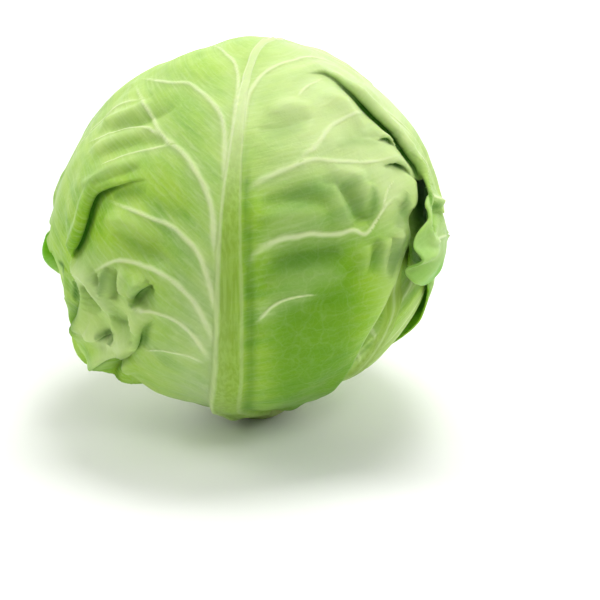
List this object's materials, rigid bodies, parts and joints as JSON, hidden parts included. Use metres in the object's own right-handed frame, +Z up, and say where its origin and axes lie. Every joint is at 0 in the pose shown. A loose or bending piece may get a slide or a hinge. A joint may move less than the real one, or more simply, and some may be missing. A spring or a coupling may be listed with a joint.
{
  "type": "cabbage head",
  "caption": "Whole round head of green cabbage: overlapping ribbed, pleated wrapper leaves closed over a dense heart, on a short cut stalk.",
  "frame": {"origin": "middle of the flat cut face of the stalk, which the head rests on", "axes": "+Z up out of the stalk to the crown, -Y towards the side that the front leaf's midrib runs up, +X to that leaf's loose, ruffled side"},
  "size_m": [0.184, 0.178, 0.1737],
  "materials": {
    "front_leaf": "waxy leaf, soft sheen, pale ribs",
    "wrapper_leaf": "waxy leaf, soft sheen, pale ribs",
    "inner_leaves": "smooth pale inner leaves",
    "stalk": "pale skin, drying cut face"
  },
  "bodies": {
    "root": {"stalk": "stalk", "heart": "inner_leaves", "leaf_front": "front_leaf", "leaf_back_right": "wrapper_leaf", "leaf_left": "wrapper_leaf", "leaf_front_right": "wrapper_leaf", "leaf_back": "wrapper_leaf", "leaf_front_left": "wrapper_leaf"}
  },
  "joints": []
}
